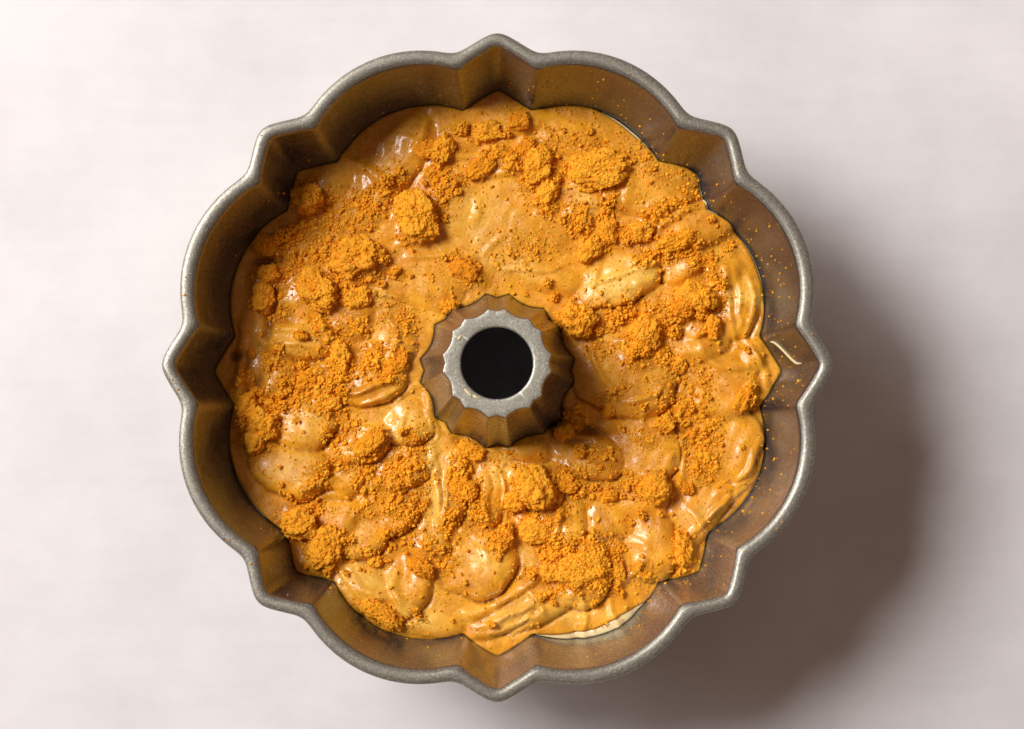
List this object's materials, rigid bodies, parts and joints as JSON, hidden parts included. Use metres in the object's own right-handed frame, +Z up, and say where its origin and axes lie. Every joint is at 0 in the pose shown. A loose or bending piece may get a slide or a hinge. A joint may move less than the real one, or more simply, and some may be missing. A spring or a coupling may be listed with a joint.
{
  "type": "bundt pan",
  "caption": "Fluted ring-cake pan with a hollow centre tube, filled with layered batter and a crumb topping that lift out.",
  "frame": {"origin": "middle of the plane the pan stands on, below the centre tube", "axes": "+Z up along the tube's axis, towards the open rim; +X through the point of one pointed flute"},
  "size_m": [0.27, 0.27, 0.113],
  "materials": {
    "coated_aluminium": "satin",
    "plain_batter": "satin",
    "spiced_batter": "gloss",
    "sugar_crumb": "matte"
  },
  "bodies": {
    "pan": {"pan_casting": "coated_aluminium"},
    "filling": {"lower_batter": "plain_batter", "upper_batter": "spiced_batter", "crumb_lump_01": "sugar_crumb", "crumb_lump_02": "sugar_crumb", "crumb_lump_03": "sugar_crumb", "crumb_lump_04": "sugar_crumb", "crumb_lump_05": "sugar_crumb", "crumb_lump_06": "sugar_crumb", "crumb_lump_07": "sugar_crumb", "crumb_lump_08": "sugar_crumb", "crumb_lump_09": "sugar_crumb", "crumb_lump_10": "sugar_crumb", "crumb_lump_11": "sugar_crumb", "crumb_lump_12": "sugar_crumb", "crumb_lump_13": "sugar_crumb", "crumb_lump_14": "sugar_crumb", "crumb_lump_15": "sugar_crumb", "crumb_lump_16": "sugar_crumb", "crumb_lump_17": "sugar_crumb", "crumb_lump_18": "sugar_crumb", "crumb_lump_19": "sugar_crumb", "crumb_lump_20": "sugar_crumb"}
  },
  "joints": [
    {"name": "filling_lift", "type": "slide", "parent": "pan", "child": "filling", "axis": [0, 0, 1], "range_m": [0, 0.12]}
  ]
}
